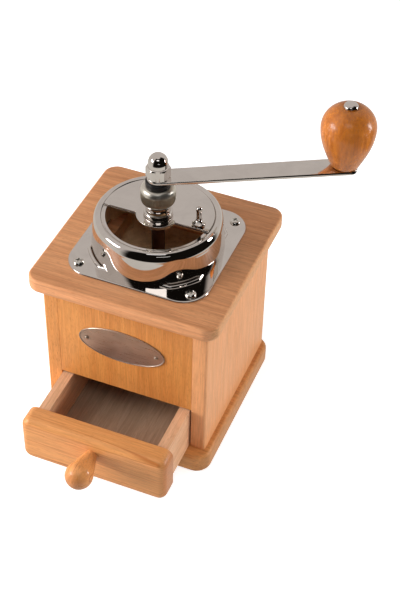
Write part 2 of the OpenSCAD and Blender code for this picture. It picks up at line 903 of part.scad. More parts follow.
// Conical burr: spiral breaker ribs above and a band of fine teeth below
module inner_burr() {
    top_scale = 0.42;
    color("slategray")
        translate([0, 0, inner_burr_z])
            difference() {
                union() {
                    linear_extrude(fine_band_h, twist = 12, scale = 0.95, slices = 4)
                        tooth_outline(burr_r, tooth_depth, burr_teeth);
                    translate([0, 0, fine_band_h])
                        linear_extrude(burr_h - fine_band_h, twist = 70, scale = top_scale, slices = 9)
                            tooth_outline(burr_r * 0.94, burr_r * 0.2, 7);
                }
                translate([0, 0, -cut])
                    cylinder(r = journal_r + seat_gap, h = burr_h + 2 * cut, $fn = 32);
            }
}

module burr_nut() {
    color("silver")
        translate([0, 0, inner_burr_z - burr_nut_h])
            difference() {
                cylinder(r = burr_nut_r, h = burr_nut_h, $fn = 6);
                translate([0, 0, -cut])
                    cylinder(r = journal_r + seat_gap, h = burr_nut_h + 2 * cut);
            }
}

// Ring burr: a flared mouth, fine teeth below and two lugs for the bridge
module outer_burr() {
    fine_top = fine_band_h + burr_rise;
    low = outer_burr_in_r;
    color("slategray")
        translate([0, 0, outer_burr_z])
            difference() {
                union() {
                    cylinder(r = outer_burr_r, h = outer_burr_h - seat_gap);
                    translate([-lug_r, -lug_w / 2, 0])
                        cube([2 * lug_r, lug_w, lug_t]);
                }
                translate([0, 0, -cut])
                    linear_extrude(fine_top + cut + 0.01, slices = 1)
                        tooth_outline(low + tooth_depth, tooth_depth, burr_teeth);
                translate([0, 0, fine_top])
                    cylinder(r1 = low + tooth_depth, r2 = low + mouth_flare + tooth_depth,
                             h = outer_burr_h - fine_top);
                for (x = [-1, 1])
                    translate([x * bridge_screw_at, 0, -cut])
                        cylinder(r = bridge_screw_r + seat_gap, h = lug_t + 2 * cut, $fn = 24);
            }
}

// Strap under the burrs with a boss that guides the lower end of the shaft
module bearing_bridge() {
    span = lug_r;
    foot = lug_r - outer_burr_r + 1;
    top_z = outer_burr_z - seat_gap;
    color("silver")
        difference() {
            union() {
                translate([0, bridge_w / 2, 0])
                    rotate([90, 0, 0])
                        linear_extrude(bridge_w)
                            polygon([[-span, top_z], [-span, top_z - bridge_t],
                                     [-span + foot, top_z - bridge_t],
                                     [-span + foot + 5, bridge_z - bridge_t],
                                     [span - foot - 5, bridge_z - bridge_t],
                                     [span - foot, top_z - bridge_t],
                                     [span, top_z - bridge_t], [span, top_z],
                                     [span - foot - 2, top_z],
                                     [span - foot - 7, bridge_z], [-span + foot + 7, bridge_z],
                                     [-span + foot + 2, top_z]]);
                translate([0, 0, bridge_z - bridge_t])
                    cylinder(r = boss_r, h = boss_h);
            }
            translate([0, 0, bridge_z - bridge_t - cut])
                cylinder(r = journal_r + running_gap, h = boss_h + 2 * cut);
            for (x = [-1, 1])
                translate([x * bridge_screw_at, 0, top_z - bridge_t - cut])
                    cylinder(r = bridge_screw_r + seat_gap, h = bridge_t + 2 * cut, $fn = 24);
        }
}

// Screws that hold the bridge on the ring burr
module bridge_screws() {
    color("silver")
        for (x = [-1, 1])
            translate([x * bridge_screw_at, 0, outer_burr_z - bridge_t - seat_gap])
                rotate([180, 0, 0])
                    round_head_screw(bridge_screw_r, bridge_screw_head_r, bridge_screw_head_h,
                                     bridge_t + lug_t);
}

base_plate();
left_side_board();
right_side_board();
front_panel();
back_panel();
top_plate();
base_screws();
mounting_plate();
plate_screws();
hopper_drum();
fixed_cover();
rotating_cover();
cover_knob();
hopper_bowl();
bearing_bush();
thrust_washer();
adjusting_nut();
lock_ring();
crank_arm();
cap_nut();
handle_washer();
wooden_handle();
handle_rivet();
drive_shaft();
inner_burr();
burr_nut();
outer_burr();
bearing_bridge();
bridge_screws();
drawer_front();
drawer_left_side();
drawer_right_side();
drawer_back();
drawer_bottom();
drawer_knob();
knob_screw();
nameplate();
nameplate_pins();
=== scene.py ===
"""Looks of a hand-cranked burr coffee grinder: oiled beech box, nickel-plated hopper and crank."""

import math

import bmesh
import bpy
from mathutils import Matrix, Vector


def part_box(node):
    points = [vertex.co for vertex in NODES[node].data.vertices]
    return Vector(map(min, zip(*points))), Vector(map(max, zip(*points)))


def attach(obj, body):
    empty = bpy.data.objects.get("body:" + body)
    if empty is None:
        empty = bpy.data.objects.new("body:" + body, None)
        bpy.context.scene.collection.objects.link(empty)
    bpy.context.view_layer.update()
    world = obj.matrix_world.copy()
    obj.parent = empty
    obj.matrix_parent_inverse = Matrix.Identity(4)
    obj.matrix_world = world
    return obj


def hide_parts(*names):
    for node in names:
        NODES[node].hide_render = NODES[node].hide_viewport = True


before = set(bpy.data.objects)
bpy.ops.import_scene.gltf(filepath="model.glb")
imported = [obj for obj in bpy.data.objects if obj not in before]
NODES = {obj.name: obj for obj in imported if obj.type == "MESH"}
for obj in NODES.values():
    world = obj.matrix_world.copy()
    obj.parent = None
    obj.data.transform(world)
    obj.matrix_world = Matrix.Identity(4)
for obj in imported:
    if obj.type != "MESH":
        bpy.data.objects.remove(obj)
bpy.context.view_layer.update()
MM = 0.001
WHITE = (1, 1, 1, 1)


def add_object(name, data):
    """Makes an object and puts it in the scene."""
    thing = bpy.data.objects.new(name, data)
    bpy.context.scene.collection.objects.link(thing)
    return thing


# -------- places taken from the frame


def low(node):
    """Lowest corner of a node's box."""
    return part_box(node)[0]


def high(node):
    """Highest corner of a node's box."""
    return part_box(node)[1]


def middle(node):
    """Centre of a node's box."""
    return (low(node) + high(node)) / 2


def size(node):
    """Lengths of a node's box."""
    return high(node) - low(node)


DECK_Z = high("top_plate").z
HANDLE_AXIS = middle("wooden_handle").to_2d()
CRANK_ANGLE = math.atan2(HANDLE_AXIS.y, HANDLE_AXIS.x)

# -------- camera

VIEW_AZIMUTH = math.radians(21.0)
VIEW_ELEVATION = math.radians(42.917)
VIEW_ROLL = math.radians(1.526)
VIEW_DISTANCE = 0.9093
VIEW_TARGET = Vector((0.01035, 0.04693, 0.04314))
VIEW_LENS = 80.54


def add_camera():
    """Long lens, looking down on the front from a little to the right."""
    across, ahead = math.cos(VIEW_AZIMUTH), math.sin(VIEW_AZIMUTH)
    level = math.cos(VIEW_ELEVATION)
    back = Vector((ahead * level, -across * level, math.sin(VIEW_ELEVATION)))
    level_right = Vector((across, ahead, 0))
    level_up = back.cross(level_right)
    right = level_right * math.cos(VIEW_ROLL) + level_up * math.sin(VIEW_ROLL)
    up = level_up * math.cos(VIEW_ROLL) - level_right * math.sin(VIEW_ROLL)
    data = bpy.data.cameras.new("studio_camera")
    data.lens = VIEW_LENS
    data.clip_start = 0.05
    data.clip_end = 20
    camera = add_object("studio_camera", data)
    turn = Matrix((right, up, back)).transposed().to_4x4()
    camera.matrix_world = Matrix.Translation(VIEW_TARGET + back * VIEW_DISTANCE) @ turn
    bpy.context.scene.camera = camera


# -------- node helpers


def link(tree, source, target):
    """Joins two sockets."""
    tree.links.new(source, target)


def feed(tree, value, target):
    """Joins a socket to another, or sets it if the value is a constant."""
    if hasattr(value, "is_output"):
        link(tree, value, target)
    else:
        target.default_value = value


def add_node(tree, kind, **settings):
    """Adds a shader node and sets its properties."""
    node = tree.nodes.new("ShaderNode" + kind)
    for name, value in settings.items():
        setattr(node, name, value)
    return node


def maths(tree, operation, first, second=None, third=None, clamp=False):
    """Adds a Math node; each input is a socket or a number."""
    node = add_node(tree, "Math", operation=operation, use_clamp=clamp)
    for socket, value in zip(node.inputs, (first, second, third)):
        if value is not None:
            feed(tree, value, socket)
    return node.outputs[0]


def vector_maths(tree, operation, first, second=None):
    """Adds a Vector Math node and returns its vector, or its value where it measures."""
    node = add_node(tree, "VectorMath", operation=operation)
    feed(tree, first, node.inputs[0])
    if second is not None:
        feed(tree, second, node.inputs["Scale"] if operation == "SCALE" else node.inputs[1])
    return node.outputs["Value" if operation in ("DOT_PRODUCT", "DISTANCE") else "Vector"]


def parts_of(tree, vector):
    """Splits a vector into its three values."""
    node = add_node(tree, "SeparateXYZ")
    link(tree, vector, node.inputs[0])
    return node.outputs


def mix_colours(tree, factor, first, second):
    """Mixes two colours; each input is a socket or a value."""
    node = add_node(tree, "Mix", data_type="RGBA")
    for index, value in ((0, factor), (6, first), (7, second)):
        feed(tree, value, node.inputs[index])
    return node.outputs[2]


def mix_shaders(tree, factor, first, second):
    """Mixes two shaders by a socket."""
    node = add_node(tree, "MixShader")
    for socket, source in zip(node.inputs, (factor, first, second)):
        link(tree, source, socket)
    return node.outputs[0]


def noise(tree, vector, scale, detail, roughness, distortion=0.0):
    """Adds a 3D noise texture; three scales, one per axis, draw its marks out."""
    if isinstance(scale, tuple):
        vector = vector_maths(tree, "MULTIPLY", vector, scale)
        scale = 1.0
    node = add_node(tree, "TexNoise")
    for name, value in (("Vector", vector), ("Scale", scale), ("Detail", detail),
                        ("Roughness", roughness), ("Distortion", distortion)):
        feed(tree, value, node.inputs[name])
    return node.outputs["Fac"]


def remap(tree, value, from_low, from_high, to_low=0.0, to_high=1.0, smooth=False):
    """Maps a value from one range to another, clamped."""
    node = add_node(tree, "MapRange", clamp=True)
    if smooth:
        node.interpolation_type = "SMOOTHSTEP"
    for name, number in (("Value", value), ("From Min", from_low), ("From Max", from_high),
                         ("To Min", to_low), ("To Max", to_high)):
        feed(tree, number, node.inputs[name])
    return node.outputs["Result"]


def new_group(name, inputs, outputs):
    """Makes a node group; inputs and outputs are lists of (name, kind, default)."""
    group = bpy.data.node_groups.new(name, "ShaderNodeTree")
    kinds = {"float": "NodeSocketFloat", "colour": "NodeSocketColor", "vector": "NodeSocketVector"}
    for label, kind, default in inputs:
        socket = group.interface.new_socket(label, in_out="INPUT", socket_type=kinds[kind])
        if default is not None:
            socket.default_value = default
    for label, kind in outputs:
        group.interface.new_socket(label, in_out="OUTPUT", socket_type=kinds[kind])
    source, result = group.nodes.new("NodeGroupInput"), group.nodes.new("NodeGroupOutput")
    return group, source.outputs, result.inputs


def rgb(red, green, blue):
    """Linear colour from display values of 0 to 255."""
    def linear(value):
        value = value / 255
        return value / 12.92 if value <= 0.04045 else ((value + 0.055) / 1.055) ** 2.4
    return (linear(red), linear(green), linear(blue), 1.0)


def shade_of(colour, factor, lift=0.0):
    """A darker or lighter shade of a colour; the factor is one number, or one for each channel."""
    factors = factor if isinstance(factor, tuple) else (factor,) * 3
    return tuple(min(1, c * f + lift) for c, f in zip(colour[:3], factors)) + (1,)


# -------- shared effects

# How many marks there are in a metre of beech, along the grain and then both ways across it
WIDE_BANDS = (2.5, 38, 38)
FINE_LINES = (17, 420, 420)
FIBRES = (70, 1100, 1100)
GROWTH_RINGS = (1.6, 62, 62)
RAY_FLECKS = (300, 2000, 2000)
FLECK_PATCHES = (70, 200, 200)
END_RINGS = (90, 330, 900)


def make_beech_grain():
    """Beech: fine streaks, a few dark growth lines and short ray flecks, along the vector's X axis."""
    group, source, result = new_group(
        "Beech Grain",
        [("Vector", "vector", None), ("Pale", "colour", rgb(225, 160, 100)),
         ("Band", "colour", rgb(200, 130, 75)), ("Fleck", "colour", rgb(120, 60, 25)),
         ("Band Amount", "float", 0.5), ("Fleck Amount", "float", 0.5), ("Line Amount", "float", 0.0)],
        [("Color", "colour"), ("Height", "float"), ("Gloss", "float")])
    vector = source["Vector"]
    wide = remap(group, noise(group, vector, WIDE_BANDS, 2, 0.5, 0.4), 0.34, 0.66, smooth=True)
    lines = remap(group, noise(group, vector, FINE_LINES, 3, 0.6, 0.3), 0.34, 0.66)
    fibre = noise(group, vector, FIBRES, 2, 0.5)
    rings = maths(group, "MULTIPLY", noise(group, vector, GROWTH_RINGS, 1, 0.4, 0.2), 8.0)
    rings = remap(group, maths(group, "PINGPONG", rings, 0.5), 0.44, 0.5, smooth=True)
    flecks = remap(group, noise(group, vector, RAY_FLECKS, 1, 0.4), 0.56, 0.66, smooth=True)
    patches = remap(group, noise(group, vector, FLECK_PATCHES, 1, 0.5), 0.3, 0.6, 0.3, 1)
    flecks = maths(group, "MULTIPLY", flecks, patches)
    bands = maths(group, "ADD", maths(group, "MULTIPLY", wide, 0.35), maths(group, "MULTIPLY", lines, 0.65))
    bands = maths(group, "MULTIPLY", bands, source["Band Amount"], clamp=True)
    bands = maths(group, "MULTIPLY_ADD", rings, source["Line Amount"], bands, clamp=True)
    colour = mix_colours(group, bands, source["Pale"], source["Band"])
    colour = vector_maths(group, "SCALE", colour, remap(group, fibre, 0.25, 0.75, 0.84, 1.12))
    fleck_mask = maths(group, "MULTIPLY", flecks, source["Fleck Amount"], clamp=True)
    link(group, mix_colours(group, fleck_mask, colour, source["Fleck"]), result["Color"])
    link(group, maths(group, "SUBTRACT", maths(group, "MULTIPLY", fibre, 0.5), flecks), result["Height"])
    link(group, maths(group, "MULTIPLY_ADD", lines, 0.6, fleck_mask), result["Gloss"])
    return group


def make_edge_wear():
    """Mask that is bright along a piece's edges, broken up by noise."""
    group, source, result = new_group(
        "Edge Wear", [("Vector", "vector", None), ("Width", "float", 0.0012), ("Amount", "float", 0.5)],
        [("Mask", "float")])
    bevel = add_node(group, "Bevel", samples=6)
    link(group, source["Width"], bevel.inputs["Radius"])
    flat = add_node(group, "NewGeometry").outputs["Normal"]
    edge = remap(group, vector_maths(group, "DOT_PRODUCT", bevel.outputs["Normal"], flat), 0.995, 0.9)
    patches = remap(group, noise(group, source["Vector"], 160, 3, 0.6), 0.3, 0.7)
    mask = maths(group, "MULTIPLY", edge, patches)
    link(group, maths(group, "MULTIPLY", mask, source["Amount"], clamp=True), result["Mask"])
    return group


def make_polish_marks():
    """Handled polish: cloudy smudges and hair-fine scratches in plated metal."""
    group, source, result = new_group(
        "Polish Marks",
        [("Vector", "vector", None), ("Smooth", "float", 0.05), ("Smudged", "float", 0.12)],
        [("Roughness", "float"), ("Height", "float"), ("Cloud", "float")])
    vector = source["Vector"]
    cloud = remap(group, noise(group, vector, 70, 4, 0.6, 0.5), 0.35, 0.75, smooth=True)
    hairs = remap(group, noise(group, vector, (2600, 90, 700), 1, 0.5), 0.66, 0.74)
    wipes = remap(group, noise(group, vector, (140, 2200, 600), 1, 0.5), 0.68, 0.76)
    marks = maths(group, "ADD", hairs, wipes, clamp=True)
    spread = maths(group, "SUBTRACT", source["Smudged"], source["Smooth"])
    rough = maths(group, "MULTIPLY_ADD", cloud, spread, source["Smooth"])
    link(group, maths(group, "MULTIPLY_ADD", marks, 0.05, rough), result["Roughness"])
    link(group, marks, result["Height"])
    link(group, cloud, result["Cloud"])
    return group


BEECH_GRAIN = make_beech_grain()
EDGE_WEAR = make_edge_wear()
POLISH_MARKS = make_polish_marks()

# -------- materials


def empty_tree(owner, output_kind):
    """Clears a material's or world's nodes and returns its tree and the input of its output."""
    owner.use_nodes = True
    owner.node_tree.nodes.clear()
    return owner.node_tree, add_node(owner.node_tree, output_kind).inputs["Surface"]


def start_material(name):
    """Empty material with a Principled BSDF; returns its tree, shader, object place and normal."""
    material = bpy.data.materials.new(name)
    tree, surface = empty_tree(material, "OutputMaterial")
    shader = add_node(tree, "BsdfPrincipled")
    link(tree, shader.outputs[0], surface)
    place = add_node(tree, "TexCoord").outputs
    return material, tree, shader, place["Object"], place["Normal"]


def use_group(tree, group, vector, **values):
    """Places a shared effect, sets its inputs and returns its outputs."""
    node = add_node(tree, "Group", node_tree=group)
    link(tree, vector, node.inputs["Vector"])
    for name, value in values.items():
        node.inputs[name.replace("_", " ")].default_value = value
    return node.outputs


def finish_shader(tree, shader, colour, rough, height, strength, distance, metallic=0.0, coat=(0.0, 0.12)):
    """Feeds colour, roughness and a bump; metallic and the coat's weight and roughness are constants."""
    link(tree, colour, shader.inputs["Base Color"])
    link(tree, rough, shader.inputs["Roughness"])
    shader.inputs["Metallic"].default_value = metallic
    shader.inputs["Coat Weight"].default_value = coat[0]
    shader.inputs["Coat Roughness"].default_value = coat[1]
    bump = add_node(tree, "Bump")
    bump.inputs["Strength"].default_value = strength
    bump.inputs["Distance"].default_value = distance
    link(tree, height, bump.inputs["Height"])
    link(tree, bump.outputs["Normal"], shader.inputs["Normal"])


def along_grain(tree, vector, axis, plank):
    """Turns coordinates so that the grain's axis comes first, and moves them to another plank."""
    parts = parts_of(tree, vector)
    joined = add_node(tree, "CombineXYZ")
    for index, source in enumerate({"x": (0, 1, 2), "y": (1, 2, 0), "z": (2, 0, 1)}[axis]):
        link(tree, parts[source], joined.inputs[index])
    return vector_maths(tree, "ADD", joined.outputs[0], plank)


def end_grain_mask(tree, normal, axis):
    """Mask of the faces that cut across the grain."""
    across = maths(tree, "ABSOLUTE", parts_of(tree, normal)["xyz".index(axis)])
    return remap(tree, across, 0.35, 0.95, smooth=True)


def corner_mask(tree, normal):
    """Mask of the upright round corners, where end grain soaks up more oil."""
    parts = parts_of(tree, normal)
    both = maths(tree, "ABSOLUTE", maths(tree, "MULTIPLY", parts[0], parts[1]))
    return remap(tree, both, 0.1, 0.45, smooth=True)


def beech(name, axis, plank, colours, band_amount, fleck_amount, rough=(0.36, 0.5), coat=0.0,
          line_amount=0.0, soaked_amount=0.0):
    """Beech with its grain along an axis; colours are those of one wood below."""
    pale, band, fleck, end = (rgb(*colour) for colour in colours)
    material, tree, shader, place, normal = start_material(name)
    vector = along_grain(tree, place, axis, plank)
    grain = use_group(tree, BEECH_GRAIN, vector, Pale=pale, Band=band, Fleck=fleck,
                      Band_Amount=band_amount, Fleck_Amount=fleck_amount, Line_Amount=line_amount)
    rings = noise(tree, vector, END_RINGS, 3, 0.6)
    end_colour = mix_colours(tree, remap(tree, rings, 0.35, 0.65), end, shade_of(end, 0.72))
    soaked = remap(tree, rings, 0.3, 0.6, 0.2, soaked_amount)
    corners = maths(tree, "MULTIPLY", corner_mask(tree, normal), soaked)
    end_colour = mix_colours(tree, corners, end_colour, shade_of(end, (0.42, 0.42, 0.36)))
    cut = maths(tree, "MULTIPLY", end_grain_mask(tree, normal, axis), 0.85)
    colour = mix_colours(tree, cut, grain["Color"], end_colour)
    wear = use_group(tree, EDGE_WEAR, place, Width=1.3 * MM, Amount=0.35)
    colour = mix_colours(tree, wear["Mask"], colour, shade_of(pale, 1.12, 0.02))
    finish_shader(tree, shader, colour, remap(tree, grain["Gloss"], 0, 1, rough[0], rough[1]),
                  grain["Height"], 0.25, 0.12 * MM, coat=(coat, 0.12))
    return material


def turned_handle(name):
    """Turned beech handle, stained orange and lacquered to a gloss."""
    material, tree, shader, place, _ = start_material(name)
    vector = along_grain(tree, place, "z", (0.31, 0.13, 0.07))
    grain = use_group(tree, BEECH_GRAIN, vector, Pale=rgb(204, 121, 45), Band=rgb(162, 87, 28),
                      Fleck=rgb(150, 78, 26), Band_Amount=0.9, Fleck_Amount=0.5)
    wear = use_group(tree, EDGE_WEAR, place, Width=1.0 * MM, Amount=0.2)
    colour = mix_colours(tree, wear["Mask"], grain["Color"], rgb(226, 150, 80))
    finish_shader(tree, shader, colour, remap(tree, grain["Gloss"], 0, 1, 0.24, 0.34),
                  grain["Height"], 0.12, 0.08 * MM, coat=(0.3, 0.17))
    return material


def plated(name, tint, smooth, smudged):
    """Polished nickel plating with smudges, fine scratches and brighter worn edges."""
    material, tree, shader, place, _ = start_material(name)
    marks = use_group(tree, POLISH_MARKS, place, Smooth=smooth, Smudged=smudged)
    colour = mix_colours(tree, marks["Cloud"], tint, shade_of(tint, 0.93))
    wear = use_group(tree, EDGE_WEAR, place, Width=0.3 * MM, Amount=0.4)
    colour = mix_colours(tree, wear["Mask"], colour, shade_of(tint, 1.08))
    finish_shader(tree, shader, colour, marks["Roughness"], marks["Height"], 0.04, 0.02 * MM, metallic=1.0)
    return material


def turned_metal(name, tint, rough):
    """Machined metal with stains and fine turning rings about the upright axis."""
    material, tree, shader, place, _ = start_material(name)
    rings = noise(tree, place, (30, 30, 2700), 2, 0.5)
    stains = remap(tree, noise(tree, place, 120, 4, 0.6), 0.4, 0.75)
    rougher = remap(tree, rings, 0.3, 0.7, rough * 0.8, rough * 1.25)
    finish_shader(tree, shader, mix_colours(tree, stains, tint, shade_of(tint, 0.6)), rougher,
                  rings, 0.15, 0.05 * MM, metallic=1.0)
    return material


def lacquered_bowl(name):
    """Light brown lacquer on the bowl's sheet metal, streaked where beans have slid, with coffee dust."""
    material, tree, shader, place, _ = start_material(name)
    streaks = noise(tree, place, (260, 260, 30), 4, 0.6)
    dust = noise(tree, place, 900, 2, 0.6)
    colour = mix_colours(tree, remap(tree, streaks, 0.35, 0.7), rgb(232, 194, 150), rgb(210, 170, 126))
    colour = mix_colours(tree, remap(tree, dust, 0.6, 0.75, 0, 0.5), colour, rgb(110, 70, 40))
    finish_shader(tree, shader, colour, remap(tree, streaks, 0.3, 0.7, 0.6, 0.75), dust, 0.1, 0.05 * MM)
    return material


def black_elastic(name):
    """Black elastic ring with a faint mould texture."""
    material, tree, shader, place, _ = start_material(name)
    tone = remap(tree, noise(tree, place, 200, 3, 0.5), 0.3, 0.7)
    finish_shader(tree, shader, mix_colours(tree, tone, rgb(10, 9, 9), rgb(20, 18, 18)),
                  remap(tree, tone, 0, 1, 0.3, 0.4), noise(tree, place, 1800, 2, 0.5), 0.08, 0.03 * MM)
    return material


def satin_plate(name, tint, deep):
    """Satin metal of the nameplate and its pins, brushed lengthwise; its pale edges are wear and painted
    highlight.
    """
    material, tree, shader, place, _ = start_material(name)
    brushed = noise(tree, place, (90, 300, 3200), 2, 0.5)
    clouds = remap(tree, noise(tree, place, (60, 60, 90), 3, 0.5), 0.35, 0.7)
    wear = use_group(tree, EDGE_WEAR, place, Width=0.4 * MM, Amount=0.7)
    # The pale colour along the edges paints the rim's highlight as well as wear
    colour = mix_colours(tree, wear["Mask"], mix_colours(tree, clouds, tint, deep), rgb(226, 206, 192))
    finish_shader(tree, shader, colour, remap(tree, brushed, 0.3, 0.7, 0.26, 0.4),
                  brushed, 0.08, 0.02 * MM, metallic=0.85)
    return material


# Display values of pale wood, bands, flecks and end grain; the right side's lighter wood is painted light
# from the right, and the top's pinker tint is painted cooler light
FLECK = (176, 104, 46)
WALL_END = (150, 95, 55)
FRONT_WOOD = ((222, 150, 80), (196, 118, 54), FLECK, WALL_END)
LEFT_WOOD = ((222, 150, 82), (198, 122, 58), FLECK, WALL_END)
# Lighter and pinker than the left side: painted light from the right
RIGHT_WOOD_PAINTED_LIGHT = ((232, 166, 114), (214, 142, 88), (190, 120, 72), WALL_END)
BACK_WOOD = ((228, 162, 98), (204, 132, 72), FLECK, WALL_END)
# Pinker than the front: a painted tint of the cooler light on top
TOP_WOOD_PAINTED_COOL_LIGHT = ((230, 164, 114), (198, 130, 84), (170, 106, 66), (226, 164, 110))
BASE_WOOD = ((222, 156, 92), (194, 124, 66), (160, 98, 52), (204, 138, 82))
DRAWER_WOOD = ((224, 156, 94), (186, 110, 54), (170, 100, 48), (198, 124, 72))
SIDE_WOOD = ((232, 186, 148), (206, 152, 112), (176, 120, 84), (176, 126, 92))
BOTTOM_WOOD = ((182, 150, 124), (154, 124, 99), (124, 97, 77), (84, 62, 47))
KNOB_WOOD = ((230, 158, 94), (184, 108, 54), (150, 84, 40), (200, 128, 74))
MATERIALS = {
    "front": beech("beech_front", "z", (0.11, 0.02, 0.31), FRONT_WOOD, 0.8, 0.45),
    "left": beech("beech_left_side", "z", (0.47, 0.22, 0.05), LEFT_WOOD, 0.7, 0.55),
    "right": beech("beech_right_side", "z", (0.83, 0.51, 0.19), RIGHT_WOOD_PAINTED_LIGHT, 0.4, 0.25),
    "back": beech("beech_back", "z", (0.29, 0.71, 0.37), BACK_WOOD, 0.7, 0.5),
    "top": beech("beech_top", "x", (0.05, 0.33, 0.62), TOP_WOOD_PAINTED_COOL_LIGHT, 0.95, 0.35, soaked_amount=1.0),
    "base": beech("beech_base", "x", (0.41, 0.09, 0.87), BASE_WOOD, 0.85, 0.4, soaked_amount=0.6),
    "drawer_front": beech("beech_drawer_front", "x", (0.67, 0.452, 0.19), DRAWER_WOOD, 0.4, 0.25,
                          rough=(0.3, 0.42), coat=0.15, line_amount=0.75),
    "drawer_side": beech("beech_drawer_sides", "y", (0.17, 0.64, 0.71), SIDE_WOOD, 0.7, 0.3,
                         line_amount=0.3),
    "drawer_bottom": beech("drawer_bottom_board", "y", (0.92, 0.15, 0.44), BOTTOM_WOOD, 0.8, 0.2,
                           rough=(0.5, 0.65)),
    "knob": beech("beech_knob", "y", (0.23, 0.81, 0.52), KNOB_WOOD, 0.5, 0.35,
                  rough=(0.26, 0.36), coat=0.2, line_amount=0.7),
    "handle": turned_handle("handle_wood"),
    "nickel": plated("nickel_plate", (0.79, 0.745, 0.71, 1), 0.018, 0.05),
    "satin": plated("nickel_satin", (0.84, 0.80, 0.72, 1), 0.31, 0.38),
    "knurled": plated("knurled_nickel", (0.70, 0.66, 0.56, 1), 0.36, 0.46),
    "screw": plated("screw_zinc", (0.80, 0.78, 0.74, 1), 0.10, 0.18),
    "bowl": lacquered_bowl("bowl_lacquer"),
    "burr": turned_metal("burr_steel", (0.42, 0.41, 0.40, 1), 0.38),
    # The shaft's near-black brown tint is painted shade, for the shadow it stands in down in the hopper;
    # the bearing bridge shares it.
    "shaft": turned_metal("shaft_steel", (0.16, 0.09, 0.07, 1), 0.5),
    "bronze": turned_metal("bronze", (0.72, 0.52, 0.26, 1), 0.28),
    "rubber": black_elastic("black_rubber"),
    "plate": satin_plate("plate_copper", rgb(206, 190, 176), rgb(180, 160, 144)),
    "pin": satin_plate("pin_steel", rgb(216, 198, 180), rgb(176, 154, 134)),
}

# -------- mesh helpers

FORWARD = Matrix.Rotation(math.pi / 2, 4, "X")  # turns what points up towards the front


def about_z(angle):
    """Turn about the upright axis."""
    return Matrix.Rotation(angle, 4, "Z")


def moved(mesh, x=0.0, y=0.0, z=0.0, turn=None):
    """Turns a mesh about the origin, then moves it."""
    shift = Matrix.Translation((x, y, z))
    mesh.transform(shift if turn is None else shift @ turn)
    return mesh


def finish_piece(name, mesh, material, body, replaced, sharp=32):
    """Makes a mesh a piece that rides on a body and stands for CAD nodes."""
    mesh.validate()
    mesh.shade_smooth()
    mesh.set_sharp_from_angle(angle=math.radians(sharp))
    mesh.materials.append(MATERIALS[material])
    piece = add_object(name, mesh)
    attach(piece, body)
    if replaced:
        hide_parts(*replaced)


def arc(x, z, radius, start, end, count, other_r=None):
    """Points from one angle to another, in degrees, on an arc; other_r is its half height if it is oval."""
    angles = [math.radians(start + (end - start) * i / count) for i in range(count + 1)]
    return [(x + radius * math.cos(a), z + (other_r or radius) * math.sin(a)) for a in angles]


def rings_mesh(name, rings, closed=False, start_cap=True, end_cap=True):
    """Skins a row of rings that all have the same number of points."""
    count = len(rings[0])
    vertices = [point for ring in rings for point in ring]
    faces = []
    last = len(rings) if closed else len(rings) - 1
    for r in range(last):
        a, b = r * count, (r + 1) % len(rings) * count
        for i in range(count):
            j = (i + 1) % count
            faces.append((a + i, a + j, b + j, b + i))
    if not closed and start_cap:
        faces.append(tuple(reversed(range(count))))
    if not closed and end_cap:
        faces.append(tuple(range(len(vertices) - count, len(vertices))))
    mesh = bpy.data.meshes.new(name)
    mesh.from_pydata(vertices, [], faces)
    mesh.update()
    cleaner = bmesh.new()
    cleaner.from_mesh(mesh)
    bmesh.ops.remove_doubles(cleaner, verts=cleaner.verts, dist=1e-7)
    bmesh.ops.recalc_face_normals(cleaner, faces=cleaner.faces)
    cleaner.to_mesh(mesh)
    cleaner.free()
    return mesh


def lathe(name, profile, centre=(0, 0), segments=128, closed=False, radius_at=None):
    """Turns a profile of (radius, height) points about an upright axis."""
    rings = []
    for radius, height in profile:
        ring = []
        for i in range(segments):
            angle = 2 * math.pi * i / segments
            r = radius_at(radius, height, angle) if radius_at else radius
            ring.append((centre[0] + r * math.cos(angle), centre[1] + r * math.sin(angle), height))
        rings.append(ring)
    return rings_mesh(name, rings, closed, profile[0][0] > 1e-6, profile[-1][0] > 1e-6)


def extruded(name, outline, thickness):
    """Flat shape with a thickness, from the points of its outline."""
    n = len(outline)
    vertices = [(x, y, z) for z in (0, thickness) for x, y in outline]
    faces = [tuple(reversed(range(n))), tuple(range(n, 2 * n))]
    faces += [(i, (i + 1) % n, n + (i + 1) % n, n + i) for i in range(n)]
    mesh = bpy.data.meshes.new(name)
    mesh.from_pydata(vertices, [], faces)
    return mesh


def rounded_outline(width, depth, radius, steps=10, other_r=None):
    """Points round a rectangle with round corners; other_r is for the corners on its -X side."""
    points = []
    for quarter, (sx, sy) in enumerate(((1, 1), (-1, 1), (-1, -1), (1, -1))):
        r = other_r if other_r and sx < 0 else radius
        corner = (sx * (width / 2 - r), sy * (depth / 2 - r))
        points += arc(corner[0], corner[1], r, 90 * quarter, 90 * quarter + 90, steps)
    return points


def soft_board(name, width, depth, thickness, corner_r, low_r, high_r, hole_r=0.0, hole_at=(0, 0),
               other_r=None):
    """Board with round corners, its lower and upper edges softened, with an optional round hole."""
    edge = arc(low_r, low_r, low_r, 270, 180, 6) + arc(high_r, thickness - high_r, high_r, 180, 90, 6)
    rings = []
    for inset, height in edge:
        outline = rounded_outline(width - 2 * inset, depth - 2 * inset, max(corner_r - inset, 0.3 * MM),
                                  other_r=other_r)
        rings.append([(x, y, height) for x, y in outline])
    if not hole_r:
        return rings_mesh(name, rings)
    angles = [math.atan2(y - hole_at[1], x - hole_at[0]) for x, y, _ in rings[0]]
    hole = [(hole_at[0] + hole_r * math.cos(a), hole_at[1] + hole_r * math.sin(a)) for a in angles]
    rings.insert(0, [(x, y, 0) for x, y in hole])
    rings.append([(x, y, thickness) for x, y in hole])
    return rings_mesh(name, rings, closed=True)


